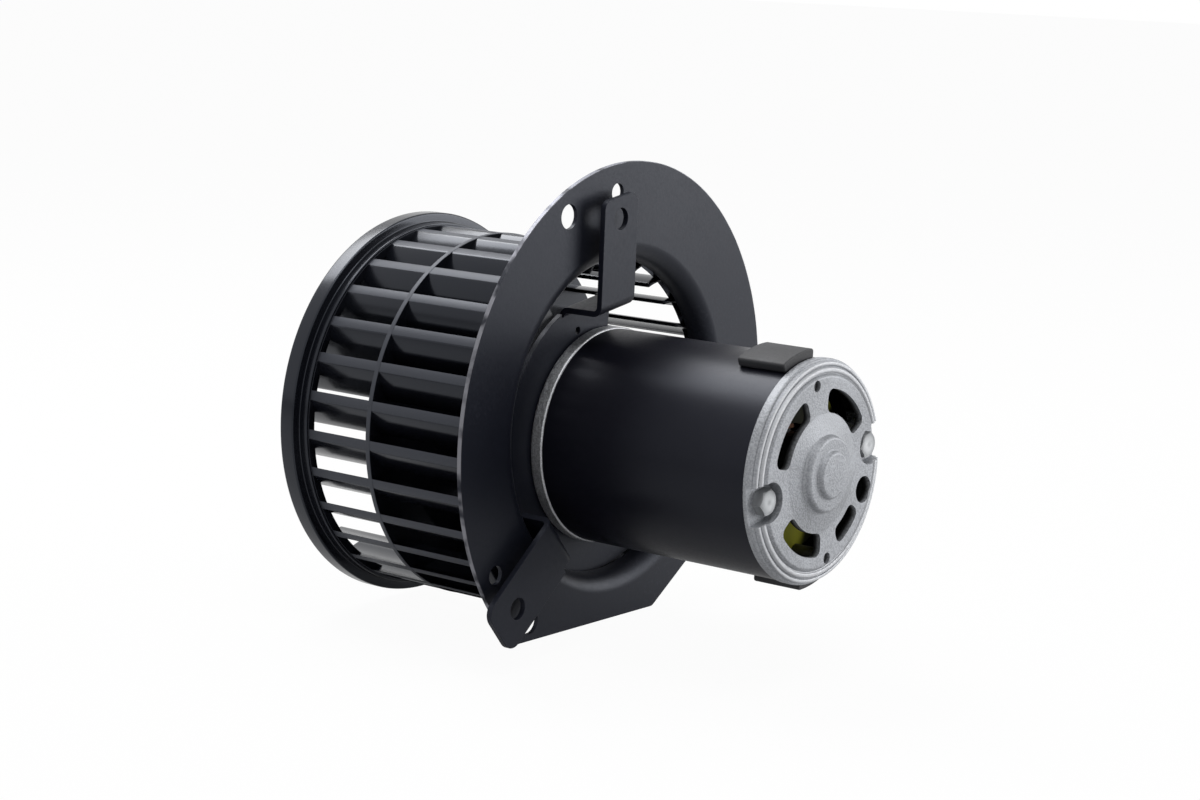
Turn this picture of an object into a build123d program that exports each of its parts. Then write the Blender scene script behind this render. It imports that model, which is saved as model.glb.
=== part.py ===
from build123d import *
from math import cos, radians, sin, sqrt, tan
import os

# Blower motor in millimetres. +X runs along the motor axis from the wheel to the cap, +Z is up.
# The origin is the centre of the mounting plate's hole circles, on the face that seats on the housing.

# Driving dimensions: layout
axis_drop = 6.5            # the motor axis lies this far below the plate's centre
motor_turn = 11            # degrees from level to the line through the two long bolts
fit_gap = 0.05             # radial clearance of pieces that slip together
running_gap = 0.03         # radial clearance of the shaft in its bearings

# Mounting plate
plate_long_r = 89.9        # the plate is a little oval
plate_short_r = 84.8
plate_lean = 76.5          # degrees from level to its long axis
plate_sheet = 1.5
foot_inset = 13.4          # how far inside the plate's short radius the flat foot lies
foot_right = 24.0          # the sloping corner starts here
corner_slope = 34          # degrees
foot_corner_r = 3.0
mouth_r = 55.3
mouth_flare_r = 5.0
mouth_depth = 8.0          # from the plate's outer face to the mouth's end
plate_hole_inset = 5.3     # how far inside the plate's short radius its holes lie
small_hole_r = 3.25
large_hole_r = 4.25
small_hole_angle = 94.8
large_hole_angle = 114.5

# Motor bracket
bracket_sheet = 2.0
disc_inset = 5.8           # how far inside the mouth the bracket's disc and webs stand
bracket_disc_x = -10.0     # the face that the nuts clamp
bracket_bend_r = 1.5       # inside radius of each bend
tab_x = 6.0                # the tabs' face towards the plate
tab_hole_circle_r = 78.7
tab_hole_angle = 99.3
tab_hole_r = 3.75
disc_hole_circle_r = 40.0
disc_hole_angle = 110
disc_hole_r = 1.3
arm_count = 3
bend_notch = 1.0           # width of the notch beside each arm's first bend
relief_reach = 54.0        # how far out a narrowed web ends
# Each arm: the way its bends face, the way its sides run, the distances of its two sides from the motor
# axis, how much narrower its web is on the second side, how far its tab runs past the holes' circle, and
# the radius of the tab's corners.
arms = [
    (100, 90, 3.4, 21.8, 0, 7.6, 3.5),
    (220, 220, -11.6, 9.0, 1.7, 11.8, 5.0),
    (340, 340, -11.6, 9.0, 1.7, 11.8, 5.0),
]
weld_inset = 3.2           # how far inside the mouth the weld beads end
weld_throat = 1.4
weld_length = 6.5

# Wheel
wheel_open_x = -94.7
wheel_close_x = -8.5
blade_count = 30
blade_tip_r = 65.7
blade_depth = 8.2          # from a blade's tip in to its root
blade_sheet = 1.4
blade_sweep = 9.2          # degrees by which a blade's tip runs ahead of its root
blade_bulge = 1.0          # depth of the blade's hollow
blade_start = 3.0          # angle of the first tip
open_ring_flange = 4.4     # how far the ring at the open end stands out past the blades' tips
open_ring_width = 6.4
step_ring_flange = 1.1
step_ring_width = 3.5
close_ring_flange = 3.3
close_ring_width = 4.0
ring_grip = 3.2            # how far the rings reach in over the blades
wheel_disc_x = -57.0
wheel_disc_sheet = 1.8
wheel_disc_inset = 0.5     # how far inside the blades' tips the disc ends
dish_rim_r = 47.0
dish_hub_x = -44.0
hub_r = 11.0
hub_open_x = -62.0
hub_close_x = -40.0
hub_neck_r = 9.6
hub_neck_x = -57.5
rib_count = 6
rib_sheet = 1.6
rib_open_x = -56.8
rib_sink = 1.2             # how far a rib's tip lies inside the dish's rim

# Motor can and its two ends
can_r = 37.5
can_wall = 1.6
can_front_x = -4.6
can_back_x = 79.8
rim_r = 38.0
spigot_depth = 5.0
spigot_wall = 2.2
bell_edge = 0.6
boss_r = 12.0
boss_hole_gap = 0.3
boss_open_x = -18.5
front_bearing_x = -10.0

cap_rim_x = 83.7
cap_face_x = 85.0
cap_wall = 2.6
cap_edge = 0.5
cap_mouth_x = 73.2         # where the cap's inner boss ends
ridges = [(83.85, 36.9), (84.75, 33.6)]
ridge_wire_r = 0.6
cap_face_r = 33.2
cap_boss_r = 13.3
cap_boss_flank = 0.8
cap_boss_x = 87.2
nose_r = 7.7
nose_x = 91.0
nose_edge_r = 1.3
nose_bore_r = 5.4
nose_wall = 1.6
rear_bearing_x = 78.6
cap_inner_boss_r = 12.6
slot_inner_r = 20.2
slot_outer_r = 28.3
slot_starts = (20, 103, 206)   # degrees from the bolt line
slot_span = 56
slot_corner_r = 2.6
short_slot_inner_r = 22.2
short_slot_outer_r = 28.8
short_slot_start = 284
short_slot_span = 31
lead_hole_r = 4.65
lead_hole_circle_r = 28.0
lead_hole_angle = 330

# Long bolts, nuts and card screws
bolt_circle_r = 30.2
bolt_r = 2.5
bolt_hole_r = 2.75
bolt_seat_x = 81.3
bolt_pocket_r = 6.9
pocket_wall = 1.6
pocket_back_x = 79.0
hex_across_flats = 8.0
bolt_head_height = 3.3
hex_edge = 0.5
nut_height = 4.0
bolt_overhang = 1.0
stud_circle_r = 30.2
stud_r = 1.9
stud_spacer_r = 2.8
stud_tail_r = 1.4
stud_head_r = 2.6
stud_head = 0.8
stud_sink = 0.8

# Pads
pad_angle = 100
pad_open_x = 60.0
pad_cap_x = 79.4
pad_span = 25.7            # degrees
pad_height = 3.4
pad_corner_r = 1.0

# Shaft and bearings
shaft_r = 4.0
shaft_open_x = -66.0
shaft_end_x = 88.0
sleeve_r = 8.0
sleeve_half = 5.0
pocket_gap = 0.1
shoulder_reach = 4.2       # from a bearing's middle to the shoulder under its retainer
mouth_reach = 6.0          # from a bearing's middle to beyond the end of its boss
retainer_sheet = 0.8
retainer_r = 10.6
retainer_hole_gap = 0.05   # between a bearing's ball and its retainer's edge
felt_r = 6.9
felt_pocket_r = 7.0
felt_sheet = 1.6
felt_gap = 0.4
shaft_hole_r = 4.6
washer_sheet = 0.6
washer_r = 7.0
washer_gap = 0.3
insert_r = 6.0
insert_overhang = 0.5
hub_clip_wire_r = 1.1
hub_clip_span = 320        # degrees
shaft_clip_r = 7.5
shaft_clip_sheet = 1.0
clip_groove_r = 3.4
shaft_chamfer = 0.6

# Armature, commutator, magnets
core_front_x = 10.0
core_back_x = 48.0
core_r = 27.2
armature_slots = 12
slot_width = 5.2
slot_root_r = 14.0
slot_tip_r = 24.4
slot_round = 1.0
slot_mouth = 2.0
slot_gap = 0.15
winding_reach = 7.5
winding_outer_r = 24.0
winding_inner_r = 9.0
spacer_r = 7.0
winding_round = 3.0
commutator_front_x = 58.0
commutator_back_x = 71.5
commutator_r = 11.0
riser_r = 12.8
riser_width = 2.2
bar_groove = 0.6
bar_depth = 1.0
magnet_thickness = 8.0
magnet_span = 136
magnet_corner_r = 0.8
clip_strip = 0.8
clip_play = 1              # degrees by which a clip is narrower than the gap between the magnets
clip_margin = 6.0
magnet_front_x = 6.0
magnet_back_x = 54.0

# Brush gear
card_x = 71.4              # the card's face towards the armature
card_sheet = 1.6
card_outer_r = 29.6
card_inner_r = 15.0
card_lug_r = 4.0
card_notch_r = 3.2
brush_seat_gap = 0.1       # between a brush and the commutator
brush_width = 5.0
brush_length = 8.0         # along the motor axis
brush_top_r = 20.0
brush_gap = 0.1
holder_wall = 0.7
holder_bottom_r = 13.0
holder_top_r = 28.2
spring_strip = 0.3
spring_width = 5.0
spring_folds = 6
spring_sway = 1.9
spring_bend_r = 0.35

# Values that follow
centre = (0, 0, -axis_drop)
motor_axis = Axis(centre, (1, 0, 0))
can_bore_r = can_r - can_wall
spigot_r = can_bore_r - fit_gap
disc_face_x = bracket_disc_x + bracket_sheet
felt_floor = sleeve_half + felt_gap + felt_sheet   # from a bearing's middle to its felt's seat
sleeve_end_r = sqrt(sleeve_r**2 - sleeve_half**2)
retainer_hole_r = sqrt(sleeve_r**2 - shoulder_reach**2) + retainer_hole_gap
insert_open_x = hub_open_x - insert_overhang
insert_close_x = hub_close_x + insert_overhang
shaft_bore_r = shaft_r + fit_gap

os.makedirs("parts", exist_ok=True)


def across(x):
    """Plane across the motor axis at x, with its own x along +Y and its own y along +Z."""
    return Plane(origin=(x, 0, -axis_drop), x_dir=(0, 1, 0), z_dir=(1, 0, 0))


def plate_plane(x):
    """Plane across the plate's own centre line at x."""
    return Plane(origin=(x, 0, 0), x_dir=(0, 1, 0), z_dir=(1, 0, 0))


# Half section of a turned piece: its own x is the row's X, its own y the distance from the motor axis.
section = Plane(origin=centre, x_dir=(1, 0, 0), z_dir=(0, -1, 0))
plate_section = Plane(origin=(0, 0, 0), x_dir=(1, 0, 0), z_dir=(0, -1, 0))


def polar(radius, angle):
    return radius * cos(radians(angle)), radius * sin(radians(angle))


def sector(inner_r, outer_r, start, span, corner_r):
    """Ring sector with rounded corners, as a sketch of its own."""
    with BuildSketch() as piece:
        with BuildLine():
            low = [polar(inner_r, start + part * span) for part in (0, 0.5, 1)]
            high = [polar(outer_r, start + part * span) for part in (1, 0.5, 0)]
            ThreePointArc(*low)
            Line(low[2], high[0])
            ThreePointArc(*high)
            Line(high[2], low[0])
        make_face()
        fillet(piece.vertices(), corner_r)
    return piece.sketch


# Mounting plate: pressed sheet, oval, with a flat foot, a sloping corner and a mouth drawn to the wheel.
far = 2 * plate_long_r
flare_centre = (plate_sheet - mouth_flare_r, mouth_r + mouth_flare_r)
mouth_end_x = plate_sheet - mouth_depth
foot_z = foot_inset - plate_short_r
inner_flare_r = mouth_flare_r - plate_sheet
with BuildPart() as mounting_plate:
    with BuildSketch(plate_plane(0)):
        Ellipse(plate_long_r, plate_short_r, rotation=plate_lean)
        Circle(flare_centre[1], mode=Mode.SUBTRACT)
        with BuildLine():
            Polyline(
                (-far, foot_z),
                (foot_right, foot_z),
                (far, foot_z + (far - foot_right) * tan(radians(corner_slope))),
                (far, -far),
                (-far, -far),
                close=True,
            )
        make_face(mode=Mode.SUBTRACT)
    extrude(amount=plate_sheet)
    foot_edges = mounting_plate.edges().filter_by(Axis.X).sort_by(Axis.Z)[:3]
    fillet(foot_edges, foot_corner_r)
    with BuildSketch(plate_section):
        with BuildLine():
            front = flare_centre[0] + mouth_flare_r, flare_centre[1]
            side = flare_centre[0], flare_centre[1] - mouth_flare_r
            RadiusArc(front, side, mouth_flare_r)
            Polyline(side, (mouth_end_x, mouth_r), (mouth_end_x, mouth_r + plate_sheet))
            Line((mouth_end_x, mouth_r + plate_sheet), (flare_centre[0], mouth_r + plate_sheet))
            RadiusArc((flare_centre[0], mouth_r + plate_sheet), (0, flare_centre[1]), -inner_flare_r)
            Line((0, flare_centre[1]), front)
        make_face()
    revolve(axis=Axis.X)
    with BuildSketch(plate_plane(0)):
        with PolarLocations(plate_short_r - plate_hole_inset, arm_count, start_angle=small_hole_angle):
            Circle(small_hole_r)
        with PolarLocations(plate_short_r - plate_hole_inset, arm_count, start_angle=large_hole_angle):
            Circle(large_hole_r)
    extrude(amount=plate_sheet, mode=Mode.SUBTRACT)
mounting_plate.part.label = "mounting_plate"
export_step(mounting_plate.part, "parts/mounting_plate.step")


# Motor bracket: pressed sheet, a disc behind the motor's front and three arms that pass through the mouth.
# Each arm is bent twice: its web runs along the motor, its tab stands parallel to the plate.
bend_mid_r = bracket_bend_r + bracket_sheet / 2
bend_outer_r = bracket_bend_r + bracket_sheet
disc_mid_x = bracket_disc_x + bracket_sheet / 2
disc_r = mouth_r - disc_inset
tab_mid_x = tab_x + bracket_sheet / 2


def outward_plane(angle):
    """Plane through the motor axis: its own x points outwards at the angle, its own y along the row's X."""
    c, s = cos(radians(angle)), sin(radians(angle))
    return Plane(origin=centre, x_dir=(0, c, s), z_dir=(0, s, -c))


def along_plane(x, angle):
    """Plane across the motor axis at x whose own x points outwards at the angle."""
    c, s = cos(radians(angle)), sin(radians(angle))
    return Plane(origin=(x, 0, -axis_drop), x_dir=(0, c, s), z_dir=(1, 0, 0))


def on_side(side, reach, skew):
    """Point on an arm's side that lies at the given reach, measured the way its bends face."""
    return (reach - side * sin(radians(skew))) / cos(radians(skew)), side


def arm(face, run, low, high, relief, past_hole, corner_r):
    """One arm: a bent strip that faces one way, trimmed to its outline as seen along the motor."""
    skew = face - run
    reach = tab_hole_circle_r + past_hole
    start = disc_hole_circle_r / 2
    with BuildPart() as piece:
        with BuildSketch(outward_plane(face)):
            with BuildLine():
                FilletPolyline(
                    (start, disc_mid_x),
                    (disc_r - bracket_sheet / 2, disc_mid_x),
                    (disc_r - bracket_sheet / 2, tab_mid_x),
                    (2 * disc_r, tab_mid_x),
                    radius=bend_mid_r,
                )
            trace(line_width=bracket_sheet)
        extrude(amount=disc_r / 2, both=True)
        with BuildSketch(along_plane(bracket_disc_x - 1, run)) as outline:
            with BuildLine():
                Polyline(
                    (start, low),
                    (start, high),
                    on_side(high, reach, skew),
                    on_side(low, reach, skew),
                    close=True,
                )
            make_face()
            fillet(outline.vertices().sort_by(Axis.X)[-2:], corner_r)
            if relief > 0:
                with Locations((start, high)):
                    Rectangle(relief_reach - start, relief, align=(Align.MIN, Align.MAX), mode=Mode.SUBTRACT)
        extrude(amount=tab_x - bracket_disc_x + bracket_sheet + 2, mode=Mode.INTERSECT)
    return piece.part


bracket_arms = [arm(*values) for values in arms]
with BuildPart() as motor_bracket:
    with BuildSketch(across(bracket_disc_x)):
        Circle(disc_r)
    extrude(amount=bracket_sheet)
    for face, run, low, high, relief, past_hole, corner_r in arms:
        skew = face - run
        with BuildSketch(along_plane(bracket_disc_x, run)):
            with BuildLine():
                Polyline(
                    on_side(low - bend_notch, disc_r - bend_outer_r, skew),
                    on_side(high - relief + bend_notch, disc_r - bend_outer_r, skew),
                    on_side(high - relief + bend_notch, disc_r + 1, skew),
                    on_side(low - bend_notch, disc_r + 1, skew),
                    close=True,
                )
            make_face()
        extrude(amount=bracket_sheet, mode=Mode.SUBTRACT)
    add(bracket_arms)
    with BuildSketch(across(bracket_disc_x)):
        Circle(boss_r + boss_hole_gap)
        with PolarLocations(bolt_circle_r, 2, start_angle=motor_turn):
            Circle(bolt_hole_r)
        with PolarLocations(disc_hole_circle_r, arm_count, start_angle=disc_hole_angle):
            Circle(disc_hole_r)
    extrude(amount=bracket_sheet, mode=Mode.SUBTRACT)
    with BuildSketch(across(tab_x)):
        with PolarLocations(tab_hole_circle_r, arm_count, start_angle=tab_hole_angle):
            Circle(tab_hole_r)
    extrude(amount=bracket_sheet, mode=Mode.SUBTRACT)
motor_bracket.part.label = "motor_bracket"
export_step(motor_bracket.part, "parts/motor_bracket.step")


# Weld beads: one on each lower arm, where the web's corner almost meets the mouth's end.
with BuildPart() as plate_welds:
    for values, corner in ((arms[1], 1), (arms[2], -1)):
        face, low, high = values[0], values[2], values[3] - values[4]
        edge = high if corner > 0 else low
        with BuildSketch(outward_plane(face).offset(corner * (weld_length / 2) - edge)):
            with BuildLine():
                Polyline(
                    (disc_r, mouth_end_x),
                    (mouth_r - weld_inset, mouth_end_x),
                    (disc_r, mouth_end_x - weld_throat),
                    close=True,
                )
            make_face()
        extrude(amount=weld_length / 2, both=True)
plate_welds.part.label = "plate_welds"
export_step(plate_welds.part, "parts/plate_welds.step")


# Wheel rings: the deep stepped ring at the open end and the thin one by the plate, moulded with the blades.
ring_bore_r = blade_tip_r - ring_grip
open_ring_r = blade_tip_r + open_ring_flange
step_ring_r = blade_tip_r + step_ring_flange
with BuildPart() as wheel_open_ring:
    with BuildSketch(section):
        with BuildLine():
            Polyline(
                (wheel_open_x, ring_bore_r),
                (wheel_open_x, open_ring_r),
                (wheel_open_x + open_ring_width, open_ring_r),
                (wheel_open_x + open_ring_width, step_ring_r),
                (wheel_open_x + open_ring_width + step_ring_width, step_ring_r),
                (wheel_open_x + open_ring_width + step_ring_width, ring_bore_r),
                close=True,
            )
        make_face()
    revolve(axis=motor_axis)
wheel_open_ring.part.label = "wheel_open_ring"
export_step(wheel_open_ring.part, "parts/wheel_open_ring.step")

with BuildPart() as wheel_close_ring:
    with BuildSketch(across(wheel_close_x)):
        Circle(blade_tip_r + close_ring_flange)
        Circle(ring_bore_r, mode=Mode.SUBTRACT)
    extrude(amount=-close_ring_width)
wheel_close_ring.part.label = "wheel_close_ring"
export_step(wheel_close_ring.part, "parts/wheel_close_ring.step")


# Wheel blades: forward-curved strips from ring to ring, their roots standing inside the rings' bores.
blade_root_r = blade_tip_r - blade_depth
with BuildSketch() as one_blade:
    with BuildLine():
        root = Vector(*polar(blade_root_r, blade_sweep))
        tip = Vector(*polar(blade_tip_r, 0))
        run = (tip - root).normalized()
        middle = (root + tip) / 2 + Vector(run.Y, -run.X) * -blade_bulge
        ThreePointArc(root - run * blade_sheet, middle, tip + run * blade_sheet)
    trace(line_width=blade_sheet)

with BuildPart() as wheel_blades:
    with BuildSketch(across(wheel_open_x)):
        with PolarLocations(0, blade_count, start_angle=blade_start):
            add(one_blade.sketch)
        Circle(blade_tip_r, mode=Mode.INTERSECT)
        Circle(blade_root_r, mode=Mode.SUBTRACT)
    extrude(amount=wheel_close_x - wheel_open_x)
    add(wheel_open_ring.part, mode=Mode.SUBTRACT)
    add(wheel_close_ring.part, mode=Mode.SUBTRACT)
wheel_blades.part.label = "wheel_blades"
export_step(wheel_blades.part, "parts/wheel_blades.step")


# Wheel disc: the dished web that parts the two rows of blades, with its ribs and the hub in its middle.
dish_sheet = wheel_disc_sheet / 2
wheel_disc_r = blade_tip_r - wheel_disc_inset
with BuildPart() as wheel_disc:
    with BuildSketch(section):
        with BuildLine():
            Polyline(
                (wheel_disc_x - dish_sheet, wheel_disc_r),
                (wheel_disc_x + dish_sheet, wheel_disc_r),
                (wheel_disc_x + dish_sheet, dish_rim_r),
                (dish_hub_x + dish_sheet, hub_r),
                (hub_close_x, hub_r),
                (hub_close_x, insert_r + fit_gap),
                (hub_open_x, insert_r + fit_gap),
                (hub_open_x, hub_neck_r),
                (hub_neck_x, hub_neck_r),
                (hub_neck_x, hub_r),
                (dish_hub_x - dish_sheet, hub_r),
                (wheel_disc_x - dish_sheet, dish_rim_r),
                close=True,
            )
        make_face()
    revolve(axis=motor_axis)
    for number in range(rib_count):
        with BuildSketch(outward_plane(number * 360 / rib_count)):
            with BuildLine():
                Polyline(
                    (hub_neck_r, rib_open_x),
                    (dish_rim_r - rib_sink, rib_open_x),
                    (hub_neck_r, dish_hub_x),
                    close=True,
                )
            make_face()
        extrude(amount=rib_sheet / 2, both=True)
    add(wheel_blades.part, mode=Mode.SUBTRACT)
wheel_disc.part.label = "wheel_disc"
export_step(wheel_disc.part, "parts/wheel_disc.step")


# Hub insert: the steel bush that the wheel's hub is moulded around.
with BuildPart() as hub_insert:
    with BuildSketch(across(insert_open_x)):
        Circle(insert_r)
        Circle(shaft_bore_r, mode=Mode.SUBTRACT)
    extrude(amount=insert_close_x - insert_open_x)
hub_insert.part.label = "hub_insert"
export_step(hub_insert.part, "parts/hub_insert.step")


# Hub clip: a spring wire that closes the hub's neck on the shaft.
with BuildPart() as hub_clip:
    with BuildSketch(section):
        with Locations(((hub_open_x + hub_neck_x) / 2, hub_neck_r + hub_clip_wire_r + fit_gap)):
            Circle(hub_clip_wire_r)
    revolve(axis=motor_axis, revolution_arc=hub_clip_span)
hub_clip.part.label = "hub_clip"
export_step(hub_clip.part, "parts/hub_clip.step")


# Shaft: one ground bar with a groove for the clip at the wheel's end.
groove_open_x = insert_open_x - shaft_clip_sheet - fit_gap
with BuildPart() as shaft:
    with BuildSketch(section):
        with BuildLine():
            Polyline(
                (shaft_open_x, 0),
                (shaft_open_x, shaft_r - shaft_chamfer),
                (shaft_open_x + shaft_chamfer, shaft_r),
                (groove_open_x, shaft_r),
                (groove_open_x, clip_groove_r),
                (insert_open_x, clip_groove_r),
                (insert_open_x, shaft_r),
                (shaft_end_x - shaft_chamfer, shaft_r),
                (shaft_end_x, shaft_r - shaft_chamfer),
                (shaft_end_x, 0),
                close=True,
            )
        make_face()
    revolve(axis=motor_axis)
shaft.part.label = "shaft"
export_step(shaft.part, "parts/shaft.step")


# Shaft clip: an open steel ring in the shaft's groove, against the hub insert.
with BuildPart() as shaft_clip:
    with BuildSketch(across(insert_open_x - shaft_clip_sheet)):
        Circle(shaft_clip_r)
        Circle(clip_groove_r + fit_gap, mode=Mode.SUBTRACT)
        Rectangle(2 * clip_groove_r, shaft_clip_r, align=(Align.CENTER, Align.MAX), mode=Mode.SUBTRACT)
    extrude(amount=shaft_clip_sheet)
shaft_clip.part.label = "shaft_clip"
export_step(shaft_clip.part, "parts/shaft_clip.step")


# Both ends of the motor hold a ball-shaped sleeve bearing in a pocket, with an oiled felt behind it and a
# sheet retainer in front. Distances from a bearing's middle count towards the armature.
def bearing_pocket(middle, way, hole_r, hole_end):
    """The space that a bearing, its felt, its retainer and the shaft take out of a boss."""
    sphere_r = sleeve_r + pocket_gap
    step = sqrt(sphere_r**2 - felt_pocket_r**2)
    with BuildPart() as piece:
        with BuildSketch(section):
            with BuildLine():
                bulge = sphere_r * cos(radians(30)), sphere_r * sin(radians(30))
                ThreePointArc(
                    (middle, sphere_r),
                    (middle - way * bulge[1], bulge[0]),
                    (middle - way * step, felt_pocket_r),
                )
                Polyline(
                    (middle - way * step, felt_pocket_r),
                    (middle - way * felt_floor, felt_pocket_r),
                    (middle - way * felt_floor, hole_r),
                    (hole_end, hole_r),
                    (hole_end, 0),
                    (middle + way * mouth_reach, 0),
                    (middle + way * mouth_reach, retainer_r + fit_gap),
                    (middle + way * shoulder_reach, retainer_r + fit_gap),
                    (middle + way * shoulder_reach, sphere_r),
                    (middle, sphere_r),
                )
            make_face()
        revolve(axis=motor_axis)
    return piece.part


front_pocket = bearing_pocket(front_bearing_x, 1, shaft_hole_r, boss_open_x - 1)
rear_pocket = bearing_pocket(rear_bearing_x, -1, nose_bore_r, nose_x - nose_wall)

for end, middle, way in (("front", front_bearing_x, 1), ("rear", rear_bearing_x, -1)):
    with BuildPart() as bearing:
        with BuildSketch(section):
            with BuildLine():
                ThreePointArc(
                    (middle - sleeve_half, sleeve_end_r),
                    (middle, sleeve_r),
                    (middle + sleeve_half, sleeve_end_r),
                )
                Polyline(
                    (middle + sleeve_half, sleeve_end_r),
                    (middle + sleeve_half, shaft_r + running_gap),
                    (middle - sleeve_half, shaft_r + running_gap),
                    (middle - sleeve_half, sleeve_end_r),
                )
            make_face()
        revolve(axis=motor_axis)
    bearing.part.label = f"{end}_bearing"
    export_step(bearing.part, f"parts/{end}_bearing.step")

    with BuildPart() as retainer:
        with BuildSketch(across(middle + way * shoulder_reach)):
            Circle(retainer_r)
            Circle(retainer_hole_r, mode=Mode.SUBTRACT)
        extrude(amount=way * retainer_sheet)
    retainer.part.label = f"{end}_retainer"
    export_step(retainer.part, f"parts/{end}_retainer.step")

    with BuildPart() as felt:
        with BuildSketch(across(middle - way * felt_floor)):
            Circle(felt_r)
            Circle(shaft_hole_r, mode=Mode.SUBTRACT)
        extrude(amount=way * felt_sheet)
    felt.part.label = f"{end}_felt"
    export_step(felt.part, f"parts/{end}_felt.step")


# Front end bell: cast, with a rim that closes the can, a spigot inside it and the front bearing's boss.
with BuildPart() as front_end_bell:
    with BuildSketch(section):
        with BuildLine():
            Polyline(
                (boss_open_x, 0),
                (boss_open_x, boss_r),
                (disc_face_x, boss_r),
                (disc_face_x, rim_r - bell_edge),
                (disc_face_x + bell_edge, rim_r),
                (can_front_x, rim_r),
                (can_front_x, spigot_r),
                (can_front_x + spigot_depth, spigot_r),
                (can_front_x + spigot_depth, spigot_r - spigot_wall),
                (can_front_x, spigot_r - spigot_wall),
                (can_front_x, 0),
                close=True,
            )
        make_face()
    revolve(axis=motor_axis)
    add(front_pocket, mode=Mode.SUBTRACT)
    with BuildSketch(across(disc_face_x)):
        with PolarLocations(bolt_circle_r, 2, start_angle=motor_turn):
            Circle(bolt_hole_r)
    extrude(amount=can_front_x - disc_face_x, mode=Mode.SUBTRACT)
front_end_bell.part.label = "front_end_bell"
export_step(front_end_bell.part, "parts/front_end_bell.step")


# Motor can: a drawn steel tube, held between the two ends by the long bolts.
with BuildPart() as motor_can:
    with BuildSketch(across(can_front_x)):
        Circle(can_r)
        Circle(can_bore_r, mode=Mode.SUBTRACT)
    extrude(amount=can_back_x - can_front_x)
motor_can.part.label = "motor_can"
export_step(motor_can.part, "parts/motor_can.step")


# Rear end cap: cast zinc, with two raised rings, a boss with a nose, two open bolt pockets and the vents.
long_slots = [
    sector(slot_inner_r, slot_outer_r, motor_turn + start, slot_span, slot_corner_r) for start in slot_starts
]
short_slot = sector(
    short_slot_inner_r, short_slot_outer_r, motor_turn + short_slot_start, short_slot_span, slot_corner_r
)
with BuildPart() as rear_end_cap:
    with BuildSketch(section) as cap_profile:
        with BuildLine():
            Polyline(
                (can_back_x, rim_r),
                (cap_rim_x - cap_edge, rim_r),
                (cap_rim_x, rim_r - cap_edge),
                (cap_face_x, cap_face_r),
                (cap_face_x, cap_boss_r + cap_boss_flank),
                (cap_boss_x, cap_boss_r),
                (cap_boss_x, nose_r),
                (nose_x, nose_r),
                (nose_x, 0),
                (cap_mouth_x, 0),
                (cap_mouth_x, cap_inner_boss_r),
                (cap_face_x - cap_wall, cap_inner_boss_r),
                (cap_face_x - cap_wall, spigot_r - spigot_wall),
                (can_back_x - spigot_depth, spigot_r - spigot_wall),
                (can_back_x - spigot_depth, spigot_r),
                (can_back_x, spigot_r),
                close=True,
            )
        make_face()
        fillet(cap_profile.vertices().sort_by(Axis.X)[-2:].sort_by(Axis.Y)[-1], nose_edge_r)
        with Locations(*ridges):
            Circle(ridge_wire_r)
    revolve(axis=motor_axis)
    with BuildSketch(across(pocket_back_x)):
        with PolarLocations(bolt_circle_r, 2, start_angle=motor_turn):
            Circle(bolt_pocket_r + pocket_wall)
        Circle(spigot_r - spigot_wall / 2, mode=Mode.INTERSECT)
    extrude(amount=cap_face_x - cap_wall - pocket_back_x)
    with BuildSketch(across(bolt_seat_x)):
        with PolarLocations(bolt_circle_r, 2, start_angle=motor_turn):
            Circle(bolt_pocket_r)
            Rectangle(rim_r, 2 * bolt_pocket_r, align=(Align.MIN, Align.CENTER))
    extrude(amount=cap_boss_x - bolt_seat_x, mode=Mode.SUBTRACT)
    with BuildSketch(across(pocket_back_x)):
        with PolarLocations(bolt_circle_r, 2, start_angle=motor_turn):
            Circle(bolt_hole_r)
        with PolarLocations(stud_circle_r, 2, start_angle=motor_turn + 90):
            Circle(stud_r + fit_gap)
        with PolarLocations(lead_hole_circle_r, 1, start_angle=motor_turn + lead_hole_angle):
            Circle(lead_hole_r)
        add([*long_slots, short_slot])
    extrude(amount=cap_boss_x - pocket_back_x, mode=Mode.SUBTRACT)
    add(rear_pocket, mode=Mode.SUBTRACT)
rear_end_cap.part.label = "rear_end_cap"
export_step(rear_end_cap.part, "parts/rear_end_cap.step")


# Long bolts: they run from the cap's pockets through the can, the front end bell and the bracket.
bolt_tip_x = bracket_disc_x - nut_height - bolt_overhang
with BuildPart() as through_bolts:
    with BuildSketch(across(bolt_tip_x)):
        with PolarLocations(bolt_circle_r, 2, start_angle=motor_turn):
            Circle(bolt_r)
    extrude(amount=bolt_seat_x - bolt_tip_x)
    chamfer(through_bolts.edges().group_by(Axis.X)[0], hex_edge)
    with BuildSketch(across(bolt_seat_x)):
        with PolarLocations(bolt_circle_r, 2, start_angle=motor_turn):
            RegularPolygon(hex_across_flats / 2, 6, major_radius=False)
    extrude(amount=bolt_head_height)
    chamfer(through_bolts.edges().group_by(Axis.X)[-1], hex_edge)
through_bolts.part.label = "through_bolts"
export_step(through_bolts.part, "parts/through_bolts.step")


# Nuts: one on each long bolt, against the bracket's disc.
with BuildPart() as through_bolt_nuts:
    with BuildSketch(across(bracket_disc_x - nut_height)):
        with PolarLocations(bolt_circle_r, 2, start_angle=motor_turn):
            RegularPolygon(hex_across_flats / 2, 6, major_radius=False)
    extrude(amount=nut_height)
    chamfer(through_bolt_nuts.edges().group_by(Axis.X)[0], hex_edge)
    with BuildSketch(across(bracket_disc_x - nut_height)):
        with PolarLocations(bolt_circle_r, 2, start_angle=motor_turn):
            Circle(bolt_r + fit_gap)
    extrude(amount=nut_height, mode=Mode.SUBTRACT)
through_bolt_nuts.part.label = "through_bolt_nuts"
export_step(through_bolt_nuts.part, "parts/through_bolt_nuts.step")


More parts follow.
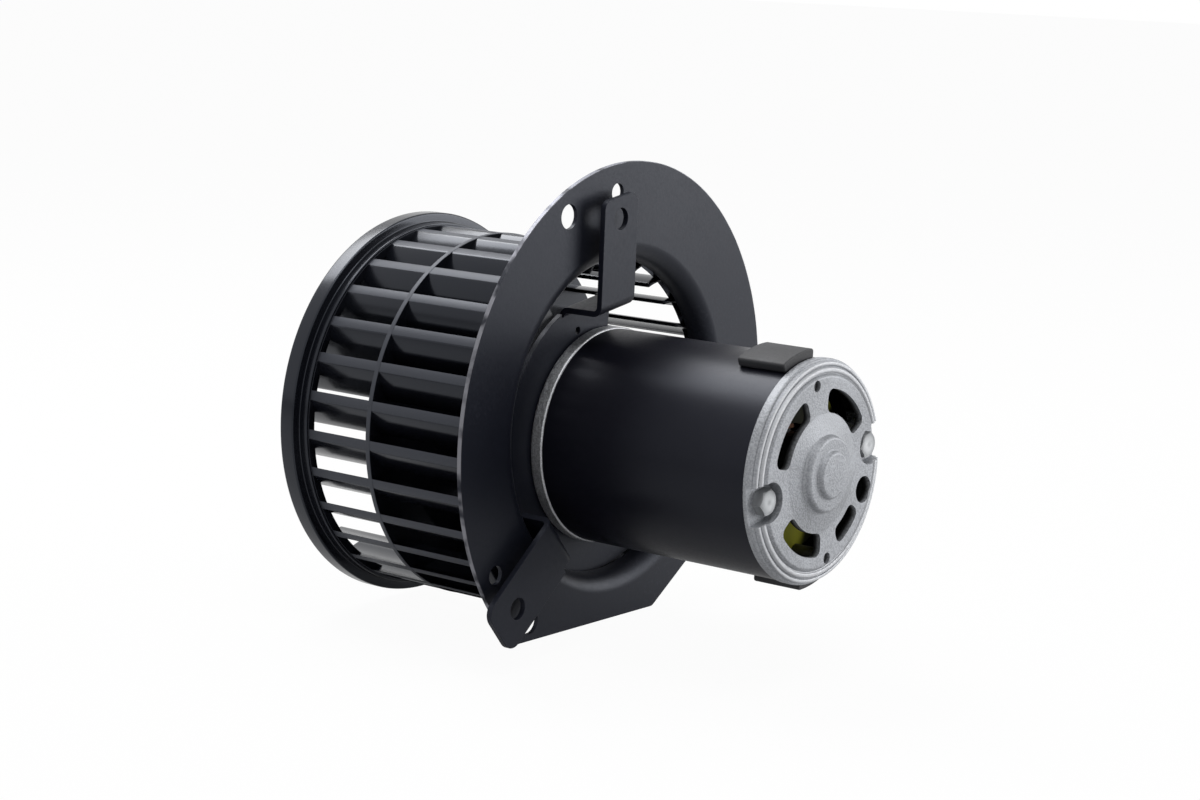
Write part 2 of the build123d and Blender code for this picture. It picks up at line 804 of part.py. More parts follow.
# Rubber pads: two soft strips bonded to the can near the cap.
pads = [
    sector(can_r, can_r + pad_height, angle - pad_span / 2, pad_span, pad_corner_r)
    for angle in (pad_angle, pad_angle + 180)
]
with BuildPart() as rubber_pads:
    with BuildSketch(across(pad_open_x)):
        add(pads)
    extrude(amount=pad_cap_x - pad_open_x)
rubber_pads.part.label = "rubber_pads"
export_step(rubber_pads.part, "parts/rubber_pads.step")


# Magnets: two curved ferrite segments on the can's wall, on either side of the long bolts.
magnet_outer_r = can_bore_r - fit_gap
for number, middle in ((1, motor_turn + 90), (2, motor_turn + 270)):
    magnet_inner_r = magnet_outer_r - magnet_thickness
    segment = sector(
        magnet_inner_r, magnet_outer_r, middle - magnet_span / 2, magnet_span, magnet_corner_r
    )
    with BuildPart() as magnet:
        with BuildSketch(across(magnet_front_x)):
            add(segment)
        extrude(amount=magnet_back_x - magnet_front_x)
    magnet.part.label = f"magnet_{number}"
    export_step(magnet.part, f"parts/magnet_{number}.step")


# Magnet clips: two steel strips that keep the magnets apart.
clip_inner_r = magnet_outer_r - clip_strip
clip_span = 180 - magnet_span - clip_play
strips = [
    sector(clip_inner_r, magnet_outer_r, middle - clip_span / 2, clip_span, clip_strip / 4)
    for middle in (motor_turn, motor_turn + 180)
]
with BuildPart() as magnet_clips:
    with BuildSketch(across(magnet_front_x + clip_margin)):
        add(strips)
    extrude(amount=magnet_back_x - magnet_front_x - 2 * clip_margin)
magnet_clips.part.label = "magnet_clips"
export_step(magnet_clips.part, "parts/magnet_clips.step")


# Armature core: stamped sheets with twelve slots.
slot_mid_r = (slot_root_r + slot_tip_r) / 2
with BuildPart() as armature_core:
    with BuildSketch(across(core_front_x)):
        Circle(core_r)
        Circle(shaft_bore_r, mode=Mode.SUBTRACT)
        with PolarLocations(slot_mid_r, armature_slots):
            RectangleRounded(slot_tip_r - slot_root_r, slot_width, slot_round, mode=Mode.SUBTRACT)
            Rectangle(core_r, slot_mouth, align=(Align.MIN, Align.CENTER), mode=Mode.SUBTRACT)
    extrude(amount=core_back_x - core_front_x)
armature_core.part.label = "armature_core"
export_step(armature_core.part, "parts/armature_core.step")


# Windings: enamelled wire in the core's slots, with a rounded bundle at either end.
with BuildPart() as armature_windings:
    with BuildSketch(across(core_front_x)):
        with PolarLocations(slot_mid_r, armature_slots):
            RectangleRounded(
                slot_tip_r - slot_root_r - 2 * slot_gap, slot_width - 2 * slot_gap, slot_round - slot_gap
            )
    extrude(amount=core_back_x - core_front_x)
    with BuildSketch(section) as bundles:
        with Locations(
            (core_front_x - winding_reach / 2, (winding_inner_r + winding_outer_r) / 2),
            (core_back_x + winding_reach / 2, (winding_inner_r + winding_outer_r) / 2),
        ):
            Rectangle(winding_reach, winding_outer_r - winding_inner_r)
        fillet(bundles.vertices().group_by(Axis.X)[0], winding_round)
        fillet(bundles.vertices().group_by(Axis.X)[-1], winding_round)
    revolve(axis=motor_axis)
armature_windings.part.label = "armature_windings"
export_step(armature_windings.part, "parts/armature_windings.step")


# Commutator: copper bars with a riser for the winding's ends, on an insulating sleeve.
with BuildPart() as commutator:
    with BuildSketch(across(commutator_front_x)):
        Circle(commutator_r)
    extrude(amount=commutator_back_x - commutator_front_x)
    with BuildSketch(across(commutator_front_x)):
        Circle(riser_r)
    extrude(amount=riser_width)
    with BuildSketch(across(commutator_front_x)):
        Circle(spacer_r + fit_gap)
        with PolarLocations(commutator_r - bar_depth, armature_slots):
            Rectangle(riser_r, bar_groove, align=(Align.MIN, Align.CENTER))
    extrude(amount=commutator_back_x - commutator_front_x, mode=Mode.SUBTRACT)
commutator.part.label = "commutator"
export_step(commutator.part, "parts/commutator.step")


# Spacers: the insulating sleeves on either side of the core. The rear one carries the commutator.
front_washer_x = front_bearing_x + sleeve_half + washer_gap
rear_washer_x = rear_bearing_x - sleeve_half - washer_gap
spacers = (
    ("front_spacer", front_washer_x + washer_sheet, core_front_x),
    ("commutator_sleeve", core_back_x, rear_washer_x - washer_sheet),
)
for label, start_x, end_x in spacers:
    with BuildPart() as spacer:
        with BuildSketch(across(start_x)):
            Circle(spacer_r)
            Circle(shaft_bore_r, mode=Mode.SUBTRACT)
        extrude(amount=end_x - start_x)
    spacer.part.label = label
    export_step(spacer.part, f"parts/{label}.step")


# Thrust washers: one at each bearing, between it and the spacer.
with BuildPart() as thrust_washers:
    for washer_x in (front_washer_x, rear_washer_x - washer_sheet):
        with BuildSketch(across(washer_x)):
            Circle(washer_r)
            Circle(shaft_bore_r, mode=Mode.SUBTRACT)
        extrude(amount=washer_sheet)
thrust_washers.part.label = "thrust_washers"
export_step(thrust_washers.part, "parts/thrust_washers.step")


# Brush card: the insulating board around the commutator that carries the brush holders.
with BuildPart() as brush_card:
    with BuildSketch(across(card_x)):
        Circle(card_outer_r)
        with PolarLocations(stud_circle_r, 2, start_angle=motor_turn + 90):
            Circle(card_lug_r)
        Circle(card_inner_r, mode=Mode.SUBTRACT)
        with PolarLocations(bolt_circle_r, 2, start_angle=motor_turn):
            Circle(card_notch_r, mode=Mode.SUBTRACT)
        with PolarLocations(stud_circle_r, 2, start_angle=motor_turn + 90):
            Circle(stud_tail_r + fit_gap, mode=Mode.SUBTRACT)
    extrude(amount=card_sheet)
brush_card.part.label = "brush_card"
export_step(brush_card.part, "parts/brush_card.step")


# Card studs: each sits in a hole of the cap, spaces the card from it and is riveted over behind the card.
stud_steps = (
    (card_x - stud_head, card_x, stud_head_r),
    (card_x, card_x + card_sheet, stud_tail_r),
    (card_x + card_sheet, cap_face_x - cap_wall, stud_spacer_r),
    (cap_face_x - cap_wall, cap_face_x - stud_sink, stud_r),
)
with BuildPart() as card_studs:
    for start_x, end_x, radius in stud_steps:
        with BuildSketch(across(start_x)):
            with PolarLocations(stud_circle_r, 2, start_angle=motor_turn + 90):
                Circle(radius)
        extrude(amount=end_x - start_x)
card_studs.part.label = "card_studs"
export_step(card_studs.part, "parts/card_studs.step")


# Brush gear: on either side of the commutator a brush, its sheet holder and the folded spring behind it.
brush_x = card_x - holder_wall - brush_gap - brush_length
spring_x = brush_x + (brush_length - spring_width) / 2
spring_top_r = holder_top_r - holder_wall
for number, side in ((1, 1), (2, -1)):
    with BuildPart() as brush:
        with BuildSketch(across(brush_x)):
            with Locations((0, side * (brush_top_r + spacer_r) / 2)):
                Rectangle(brush_width, brush_top_r - spacer_r)
            Circle(commutator_r + brush_seat_gap, mode=Mode.SUBTRACT)
        extrude(amount=brush_length)
    brush.part.label = f"brush_{number}"
    export_step(brush.part, f"parts/brush_{number}.step")

    with BuildPart() as holder:
        with BuildSketch(across(brush_x - brush_gap - holder_wall)):
            with Locations((0, side * (holder_top_r + holder_bottom_r) / 2)):
                Rectangle(brush_width + 2 * (brush_gap + holder_wall), holder_top_r - holder_bottom_r)
        extrude(amount=card_x - (brush_x - brush_gap - holder_wall))
        with BuildSketch(across(brush_x - brush_gap)):
            with Locations((0, side * spring_top_r / 2)):
                Rectangle(brush_width + 2 * brush_gap, spring_top_r)
        extrude(amount=brush_length + 2 * brush_gap, mode=Mode.SUBTRACT)
    holder.part.label = f"brush_holder_{number}"
    export_step(holder.part, f"parts/brush_holder_{number}.step")

    with BuildPart() as spring:
        low = brush_top_r + fit_gap + spring_strip / 2
        rise = (spring_top_r - fit_gap - spring_strip / 2 - low) / spring_folds
        with BuildSketch(across(spring_x)):
            with BuildLine():
                sways = [spring_sway * (-1) ** fold for fold in range(spring_folds + 1)]
                bends = [(sway, side * (low + fold * rise)) for fold, sway in enumerate(sways)]
                first = (-bends[0][0], bends[0][1])
                last = (-bends[-1][0], bends[-1][1])
                FilletPolyline(first, *bends, last, radius=spring_bend_r)
            trace(line_width=spring_strip)
        extrude(amount=spring_width)
    spring.part.label = f"brush_spring_{number}"
    export_step(spring.part, f"parts/brush_spring_{number}.step")
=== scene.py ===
from math import acos, asin, cos, pi, radians, sin, tan

import bmesh
import bpy
from mathutils import Matrix, Vector


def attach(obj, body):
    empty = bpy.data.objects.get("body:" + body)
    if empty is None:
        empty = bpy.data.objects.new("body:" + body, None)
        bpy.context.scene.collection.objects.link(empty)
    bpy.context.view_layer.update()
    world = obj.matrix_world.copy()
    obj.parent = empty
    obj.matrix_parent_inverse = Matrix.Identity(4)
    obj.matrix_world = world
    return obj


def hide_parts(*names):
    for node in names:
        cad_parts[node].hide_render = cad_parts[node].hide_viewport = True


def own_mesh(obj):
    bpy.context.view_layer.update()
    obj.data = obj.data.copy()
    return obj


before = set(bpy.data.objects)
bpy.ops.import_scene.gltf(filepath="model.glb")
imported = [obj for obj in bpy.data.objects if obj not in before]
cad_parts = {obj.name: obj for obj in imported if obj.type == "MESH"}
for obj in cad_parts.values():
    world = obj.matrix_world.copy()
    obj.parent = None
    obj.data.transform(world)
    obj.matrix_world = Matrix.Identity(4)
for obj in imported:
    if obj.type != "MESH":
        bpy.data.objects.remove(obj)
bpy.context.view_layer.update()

# Camera: a long lens to the front right of the end cap and a little above it, turned a few degrees about
# its own line of sight as the photograph is.
view = bpy.data.objects.new("camera", bpy.data.cameras.new("camera"))
view.data.sensor_width = 36
view.data.lens = 78.33
view.data.clip_start = 0.01
right = Vector((0.7915, 0.6098, 0.0405))
up = Vector((-0.1347, 0.1095, 0.9848))
back = Vector((0.5961, -0.785, 0.1688))
place = Vector((0.53775, -0.71813, 0.15972))
view.matrix_world = Matrix((right, up, back)).transposed().to_4x4()
view.matrix_world.translation = place
bpy.context.scene.collection.objects.link(view)
bpy.context.scene.camera = view
bpy.context.scene.view_settings.view_transform = "Standard"


# Studio: a white floor just under the part, white surroundings and three soft lamps. The camera and shiny
# surfaces see the surroundings as white, while they light the part only at a plain level.
class Field:
    """One socket of a node tree. An operator on it adds the Math node that does the sum."""

    def __init__(self, nodes, socket):
        self.nodes = nodes
        self.socket = socket

    def maths(self, operation, *values):
        return self.nodes.add("ShaderNodeMath", {"operation": operation}, dict(enumerate(values)))

    def __add__(self, other):
        return self.maths("ADD", self, other)

    def __sub__(self, other):
        return self.maths("SUBTRACT", self, other)

    def __rsub__(self, other):
        return self.maths("SUBTRACT", other, self)

    def __mul__(self, other):
        return self.maths("MULTIPLY", self, other)

    def __truediv__(self, other):
        return self.maths("DIVIDE", self, other)

    __radd__ = __add__
    __rmul__ = __mul__

    def size(self):
        """How far this is from 0."""
        return self.maths("ABSOLUTE", self)

    def most(self, other):
        """The larger of the two."""
        return self.maths("MAXIMUM", self, other)

    def rise(self, low, high):
        """0 below low, 1 above high, with a smooth step between them."""
        settings = {"interpolation_type": "SMOOTHSTEP"}
        sockets = {"Value": self, "From Min": low, "From Max": high}
        return self.nodes.add("ShaderNodeMapRange", settings, sockets)


class Nodes:
    """One node tree. What is added to it comes back as a field."""

    def __init__(self, tree):
        self.tree = tree

    def add(self, kind, settings=None, sockets=None, output=0):
        """Any node, from its type, its settings and its sockets' values or links."""
        node = self.tree.nodes.new(kind)
        for key, value in (settings or {}).items():
            setattr(node, key, value)
        for key, value in (sockets or {}).items():
            if isinstance(value, Field):
                self.tree.links.new(value.socket, node.inputs[key])
            else:
                node.inputs[key].default_value = value
        return Field(self, node.outputs[output])

    def rays(self):
        """Whether a ray comes from the camera, a shiny surface or a clear one, each as 0 or 1."""
        kinds = ("Is Camera Ray", "Is Glossy Ray", "Is Transmission Ray")
        return [self.add("ShaderNodeLightPath", output=kind) for kind in kinds]


class Finish(Nodes):
    """One material, with its Object coordinates. The named constants are set on the shader's own sockets."""

    def __init__(self, name, **constants):
        self.material = bpy.data.materials.new(name)
        self.material.use_nodes = True
        super().__init__(self.material.node_tree)
        self.shader = self.tree.nodes["Principled BSDF"]
        self.point = self.add("ShaderNodeTexCoord", output="Object")
        for socket, value in constants.items():
            self.shader.inputs[socket.replace("_", " ")].default_value = value

    def link(self, **fields):
        """Feeds each field to the shader's socket of that name."""
        for socket, field in fields.items():
            self.tree.links.new(field.socket, self.shader.inputs[socket.replace("_", " ")])

    def colour(self):
        """What feeds the shader's base colour so far."""
        return Field(self, self.shader.inputs["Base Color"].links[0].from_socket)

    def grain(self, per_metre, detail=3, roughness=0.5, stretch=(1, 1, 1)):
        """Noise from 0 to 1 with this many lumps to the metre."""
        point = self.add("ShaderNodeMapping", {}, {"Vector": self.point, "Scale": stretch})
        sockets = {"Vector": point, "Scale": per_metre, "Detail": detail, "Roughness": roughness}
        return self.add("ShaderNodeTexNoise", {}, sockets)

    def cells(self, per_metre):
        """Distance to the nearest of many scattered points."""
        return self.add("ShaderNodeTexVoronoi", {}, {"Vector": self.point, "Scale": per_metre})

    def blend(self, amount, low, high):
        """A colour that runs from low to high with the amount."""
        low, high = (side if isinstance(side, Field) else (*side, 1) for side in (low, high))
        return self.add("ShaderNodeMix", {"data_type": "RGBA"}, {0: amount, 6: low, 7: high}, output=2)

    def relief(self, height, depth, strength=1.0):
        """Sends a height from 0 to 1 to the shader as a bump of this depth in millimetres."""
        sockets = {"Height": height, "Distance": depth / 1000, "Strength": strength}
        self.link(Normal=self.add("ShaderNodeBump", {}, sockets))

    def along(self):
        """Distance along X in metres."""
        return self.add("ShaderNodeSeparateXYZ", {}, {0: self.point}, output=0)

    def off_line(self, y, z):
        """Distance in metres from the line along X that passes here."""
        flat = self.add("ShaderNodeVectorMath", {"operation": "MULTIPLY"}, {0: self.point, 1: (0, 1, 1)})
        sockets = {0: flat, 1: (0, y, z)}
        return self.add("ShaderNodeVectorMath", {"operation": "DISTANCE"}, sockets, output="Value")


floor_z = -0.079
white_share, mirrored_share = 0.96, 0.2
floor_finish = Finish("studio_floor", Base_Color=(0.65, 0.65, 0.65, 1), Roughness=0.9)
seen, mirrored, through = floor_finish.rays()
paper_share = white_share * (seen + through) + mirrored_share * mirrored
paper = floor_finish.add("ShaderNodeEmission", {}, {"Color": (1, 1, 1, 1), "Strength": 1.0})
shaded = Field(floor_finish, floor_finish.shader.outputs[0])
mixed = floor_finish.add("ShaderNodeMixShader", {}, {0: paper_share, 1: shaded, 2: paper})
floor_finish.tree.links.new(mixed.socket, floor_finish.tree.nodes["Material Output"].inputs[0])
floor_mesh = bpy.data.meshes.new("floor")
reach = 12
corners = [(-reach, -reach), (reach, -reach), (reach, reach), (-reach, reach)]
floor_mesh.from_pydata([(x, y, floor_z) for x, y in corners], [], [(0, 1, 2, 3)])
floor_mesh.materials.append(floor_finish.material)
floor = bpy.data.objects.new("floor", floor_mesh)
bpy.context.scene.collection.objects.link(floor)

plain_level, white_level = 0.35, 1.0
world = bpy.data.worlds.new("surroundings")
world.use_nodes = True
bpy.context.scene.world = world
sky = world.node_tree.nodes["Background"]
sky.inputs["Color"].default_value = (1, 1, 1, 1)
seen, mirrored, through = Nodes(world.node_tree).rays()
level = plain_level + (white_level - plain_level) * seen.most(mirrored).most(through)
world.node_tree.links.new(level.socket, sky.inputs["Strength"])

# Each lamp's name, place and width in metres, and watts.
lamps = (
    ("key", (0.35, -0.25, 1.3), 0.6, 7),
    ("side", (0.95, 1.0, 0.3), 0.9, 12),
    ("overhead", (-0.6, 0.1, 1.0), 0.7, 12),
)
for name, spot, width, watts in lamps:
    lamp = bpy.data.objects.new(name, bpy.data.lights.new(name, "AREA"))
    lamp.data.size = width
    lamp.data.energy = watts
    lamp.location = spot
    lamp.rotation_euler = (-Vector(spot)).to_track_quat("-Z", "Y").to_euler()
    bpy.context.scene.collection.objects.link(lamp)


# Mounting plate: a sheet of 1.5 mm steel pressed with a flat foot, a sloping corner and a mouth drawn
# towards the wheel, punched with two sets of three holes and dipped in satin black paint.
mm = 0.001


def rounded(points, steps=5):
    """An outline of (a, b) or (a, b, radius) points with each corner that has a radius made an arc."""
    outline = []
    for number, (a, b, *radius) in enumerate(points):
        corner = Vector((a, b))
        if not radius:
            outline.append((a, b))
            continue
        before = (Vector(points[number - 1][:2]) - corner).normalized()
        after = (Vector(points[(number + 1) % len(points)][:2]) - corner).normalized()
        half = acos(max(-1, min(1, before.dot(after)))) / 2
        middle = corner + (before + after).normalized() * radius[0] / sin(half)
        start = corner + before * radius[0] / tan(half) - middle
        end = corner + after * radius[0] / tan(half) - middle
        sweep = start.angle_signed(end)
        for step in range(steps + 1):
            turn = -sweep * step / steps
            spoke = Matrix.Rotation(turn, 2) @ start
            outline.append(tuple(middle + spoke))
    return outline


def new_piece(name, work):
    """An object from a bmesh, with its faces turned outwards."""
    bmesh.ops.recalc_face_normals(work, faces=work.faces)
    mesh = bpy.data.meshes.new(name)
    work.to_mesh(mesh)
    work.free()
    piece = bpy.data.objects.new(name, mesh)
    bpy.context.scene.collection.objects.link(piece)
    return piece


def turned(name, profile, drop=0.0, steps=192):
    """Turns a closed outline of (x, radius) points in millimetres about a line along X."""
    work = bmesh.new()
    rings = []
    for x, radius in profile:
        count = steps if radius > 0 else 1
        turns = [2 * pi * step / steps for step in range(count)]
        points = [(x * mm, radius * mm * cos(turn), radius * mm * sin(turn) - drop) for turn in turns]
        rings.append([work.verts.new(point) for point in points])
    for first, second in zip(rings, rings[1:] + rings[:1]):
        if len(first) == 1 and len(second) == 1:
            continue
        for step in range(steps):
            after = (step + 1) % steps
            corners = [first[step % len(first)], first[after % len(first)],
                       second[after % len(second)], second[step % len(second)]]
            work.faces.new(list(dict.fromkeys(corners)))
    return new_piece(name, work)


def prism(name, outlines, low, high, drop=0.0):
    """Closed prisms along X, one for each outline of (y, z) points in millimetres."""
    work = bmesh.new()
    for outline in outlines:
        ends = [[work.verts.new((x * mm, y * mm, z * mm - drop)) for y, z in outline] for x in (low, high)]
        for end in ends:
            work.faces.new(end)
        for step in range(len(outline)):
            after = (step + 1) % len(outline)
            work.faces.new((ends[0][step], ends[0][after], ends[1][after], ends[1][step]))
    return new_piece(name, work)


def polar(radius, angle):
    """Point at a radius and an angle in degrees."""
    return radius * cos(radians(angle)), radius * sin(radians(angle))


def arc(centre, radius, begin, end, steps):
    """Points round a centre from one direction to another, in radians."""
    turns = [begin + (end - begin) * step / steps for step in range(steps + 1)]
    return [(centre[0] + radius * cos(turn), centre[1] + radius * sin(turn)) for turn in turns]


def ring(centre, radius, steps=40):
    """Round outline about a point."""
    return arc(centre, radius, 0, 2 * pi, steps)[:-1]


def plain(piece):
    """Applies a piece's modifiers."""
    bpy.context.view_layer.update()
    graph = bpy.context.evaluated_depsgraph_get()
    shaped = piece.evaluated_get(graph)
    mesh = bpy.data.meshes.new_from_object(shaped, preserve_all_data_layers=True, depsgraph=graph)
    old = piece.data
    piece.modifiers.clear()
    piece.data = mesh
    bpy.data.meshes.remove(old)
    return piece


def combined(piece, other, operation):
    """Cuts, joins or trims a piece with another one, which is used up."""
    change = piece.modifiers.new("combine", "BOOLEAN")
    change.operation = operation
    change.solver = "EXACT"
    change.object = other
    plain(piece)
    bpy.data.objects.remove(other)
    return piece


def dressed(piece, body, finish, edge=0.25, rounds=2, nodes=()):
    """Rounds the edges, shades the piece smooth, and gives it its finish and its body."""
    for polygon in piece.data.polygons:
        polygon.use_smooth = True
    if edge:
        bevel = piece.modifiers.new("edge", "BEVEL")
        bevel.width = edge * mm
        bevel.segments = rounds
        bevel.limit_method = "ANGLE"
        bevel.angle_limit = radians(28)
        bevel.use_clamp_overlap = True
    shade = piece.modifiers.new("shade", "WEIGHTED_NORMAL")
    shade.keep_sharp = True
    plain(piece)
    piece.data.materials.clear()
    piece.data.materials.append(finish.material)
    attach(piece, body)
    for node in nodes:
        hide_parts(node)
    return piece


def black_paint(name, gloss):
    """Dipped black paint on steel: fine orange peel, a faint blue cast and a little dust."""
    finish = Finish(name, Specular_IOR_Level=0.22, Specular_Tint=(0.78, 0.84, 1, 1))
    cloud = finish.grain(22, detail=4)
    speck = finish.cells(900)
    dust = cloud.rise(0.45, 0.8) * speck.rise(0.5, 0.9)
    finish.link(
        Base_Color=finish.blend(dust * 0.35, (0.0055, 0.0062, 0.0105), (0.03, 0.032, 0.042)),
        Roughness=gloss + 0.12 * cloud + 0.1 * speck,
    )
    finish.relief(finish.grain(650, detail=2) * 0.7 + finish.grain(90, detail=1) * 0.3, 0.05, 0.6)
    return finish


plate_long, plate_short, plate_lean = 89.9, 84.8, 76.5
foot_drop = 71.4
foot_right = 24
slope = radians(34)
foot_corner = 3
mouth_r = 55.3
flare_r = 6.5
sheet = 1.5
mouth_end = -6.5
blank_r = plate_long + 2
hole_circle_r = 79.5
small_hole_r, small_hole_angle = 3.25, 94.8
large_hole_r, large_hole_angle = 4.25, 114.5
third = 120


def rim_point(turn):
    """Point on the plate's oval rim."""
    return Matrix.Rotation(radians(plate_lean), 2) @ Vector((plate_long * cos(turn), plate_short * sin(turn)))


def last_inside(low, high, test):
    """The value between low and high up to which the test holds."""
    for halving in range(30):
        middle = (low + high) / 2
        low, high = (middle, high) if test(middle) else (low, middle)
    return low


def over_foot(turn):
    """Whether the rim is still above the flat foot there."""
    return rim_point(turn)[1] > -foot_drop


def over_slope(turn):
    """Whether the rim is still above the sloping corner there."""
    return rim_point(turn)[1] > -foot_drop + (rim_point(turn)[0] - foot_right) * tan(slope)


rim_end = last_inside(0, pi, over_foot)
rim_start = -last_inside(0, radians(150), lambda turn: over_slope(-turn))
rim_sweep, rim_steps = rim_end - rim_start, 220
plate_outline = rounded([
    (*rim_point(rim_start), foot_corner),
    *[tuple(rim_point(rim_start + rim_sweep * step / rim_steps)) for step in range(2, rim_steps - 1)],
    (*rim_point(rim_end), foot_corner),
    (foot_right, -foot_drop, foot_corner),
])
flare_centre = (sheet - flare_r, mouth_r + flare_r)
plate = turned("pressed_mounting_plate", [
    (sheet, blank_r),
    *arc(flare_centre, flare_r, 0, -pi / 2, 10),
    (mouth_end, mouth_r),
    (mouth_end, mouth_r + sheet),
    *arc(flare_centre, flare_r - sheet, -pi / 2, 0, 10),
    (0, blank_r),
], steps=240)
combined(plate, prism("plate_trim", [plate_outline], -20, 20), "INTERSECT")
holes = []
for radius, angle in ((small_hole_r, small_hole_angle), (large_hole_r, large_hole_angle)):
    holes += [ring(polar(hole_circle_r, angle + third * number), radius) for number in range(3)]
combined(plate, prism("plate_holes", holes, -5, 5), "DIFFERENCE")
plate_finish = black_paint("satin_black_plate_paint", 0.3)
oval = plate_finish.add("ShaderNodeMapping", {"vector_type": "TEXTURE"}, {
    "Vector": plate_finish.point, "Rotation": (radians(plate_lean), 0, 0),
    "Scale": (1, plate_long * mm, plate_short * mm),
})
flat = plate_finish.add("ShaderNodeVectorMath", {"operation": "MULTIPLY"}, {0: oval, 1: (0, 1, 1)})
share = plate_finish.add("ShaderNodeVectorMath", {"operation": "LENGTH"}, {0: flat}, output="Value")
# The plate's outermost rim is painted bare steel in patches, partly as edge wear and partly as a painted
# highlight along its edge.
rim_wear_and_highlight = share.rise(0.996, 0.999) * plate_finish.grain(160, detail=2).rise(0.3, 0.6)
rim_wear_and_highlight_colour = (0.2, 0.2, 0.22)
plate_finish.link(Base_Color=plate_finish.blend(rim_wear_and_highlight, plate_finish.colour(), rim_wear_and_highlight_colour), Metallic=rim_wear_and_highlight * 0.5)
dressed(plate, "stator", plate_finish, edge=0.2, nodes=["mounting_plate"])


# Motor bracket: 2 mm steel pressed to a disc behind the motor, cut away beside the upper arm, and to three
# arms, each bent twice so that it passes through the mouth and ends in a tab with a hole. It is painted
# like the plate and welded to it with two beads.
axis_drop = 6.5 * mm


def merged(node, name):
    """A copy of a CAD node's mesh as a piece, with its loose triangles joined."""
    work = bmesh.new()
    work.from_mesh(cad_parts[node].data)
    bmesh.ops.remove_doubles(work, verts=work.verts, dist=0.002 * mm)
    bmesh.ops.dissolve_limit(work, angle_limit=radians(1), verts=work.verts, edges=work.edges)
    return new_piece(name, work)


bracket_finish = black_paint("satin_black_bracket_paint", 0.34)
disc_back, disc_face = -10.0, -8.0
gap_inner_r, gap_outer_r, gap_start, gap_end = 38, 60, radians(357), radians(445)
bracket = merged("motor_bracket", "pressed_motor_bracket")
gap = arc((0, 0), gap_inner_r, gap_start, gap_end, 22) + arc((0, 0), gap_outer_r, gap_end, gap_start, 11)
combined(bracket, prism("bracket_relief", [gap], disc_back - 1, disc_face + 1, axis_drop), "DIFFERENCE")
dressed(bracket, "stator", bracket_finish, edge=0.2, nodes=["motor_bracket"])
beads = merged("plate_welds", "bracket_weld_beads")
bead_finish = Finish("painted_weld", Base_Color=(0.016, 0.016, 0.018, 1), Metallic=0.2)
ripple = bead_finish.grain(700, detail=1, stretch=(0.3, 1, 1))
bead_finish.link(Roughness=0.35 + 0.3 * ripple)
bead_finish.relief(ripple, 0.3)
dressed(beads, "stator", bead_finish, edge=0.15, nodes=["plate_welds"])


# Blower wheel: one moulding of charcoal plastic. Its blades are curved forwards and stand between a deep
# ring at the open end and a thin one by the plate, on a dished disc that runs down to the ribbed hub.
wheel_open = -94.7
wheel_close = -8.5
blade_count = 30
blade_tip_r = 65.7
blade_root_r = 57.5
blade_sheet = 1.4
blade_sweep = 9.2
blade_bulge = 1.0
first_blade = 3.0


def ring_tree():
    """Geometry Nodes that repeat what they are given round a line along X, at an equal spacing."""
    tree = bpy.data.node_groups.new("ring_of_copies", "GeometryNodeTree")
    inputs = {"Geometry": "Geometry", "Copies": "Int", "First angle": "Float", "Axis drop": "Float",
              "Finish": "Material"}
    for name, kind in inputs.items():
        tree.interface.new_socket(name, in_out="INPUT", socket_type=f"NodeSocket{kind}")
    tree.interface.new_socket("Geometry", in_out="OUTPUT", socket_type="NodeSocketGeometry")
    nodes = Nodes(tree)
    piece, copies, first_angle, drop, finish = (nodes.add("NodeGroupInput", output=name) for name in inputs)
    points = nodes.add("GeometryNodeMeshLine", {}, {"Count": copies, "Offset": (0, 0, 0)})
    turn = first_angle + 2 * pi * (nodes.add("GeometryNodeInputIndex") / copies)
    spin = nodes.add("ShaderNodeCombineXYZ", {}, {"X": turn})
    below = nodes.add("ShaderNodeCombineXYZ", {}, {"Z": -1 * drop})
    sockets = {"Points": points, "Instance": piece, "Rotation": spin}
    ring_of_pieces = nodes.add("GeometryNodeInstanceOnPoints", {}, sockets)
    moved = nodes.add("GeometryNodeTransform", {}, {"Geometry": ring_of_pieces, "Translation": below})
    real = nodes.add("GeometryNodeRealizeInstances", {}, {"Geometry": moved})
    painted = nodes.add("GeometryNodeSetMaterial", {}, {"Geometry": real, "Material": finish})
    tree.links.new(painted.socket, tree.nodes.new("NodeGroupOutput").inputs[0])
    return tree


copies_round_axis = ring_tree()


def repeated(piece, copies, first_angle, finish):
    """Repeats a piece, made about the X axis, round the motor's axis."""
    change = piece.modifiers.new("ring", "NODES")
    change.node_group = copies_round_axis
    values = {"Copies": copies, "First angle": radians(first_angle), "Axis drop": axis_drop,
              "Finish": finish.material}
    for item in copies_round_axis.interface.items_tree:
        if item.in_out == "INPUT" and item.name in values:
            change[item.identifier] = values[item.name]
    return plain(piece)


root = Vector(polar(blade_root_r, blade_sweep))
tip = Vector(polar(blade_tip_r, 0))
chord = tip - root
side = Vector((-chord.y, chord.x)).normalized()
bow_r = (chord.length**2 / 4 + blade_bulge**2) / (2 * blade_bulge)
bow_centre = (root + tip) / 2 + side * (blade_bulge - bow_r)
bow_turn = (root - bow_centre).angle_signed(tip - bow_centre)


def blade_point(part, offset):
    """Point on the blade, from 0 at its root to 1 at its tip, and off its middle line by the offset."""
    spoke = Matrix.Rotation(-bow_turn * part, 2) @ (root - bow_centre)
    return bow_centre + spoke * (1 + offset / bow_r)


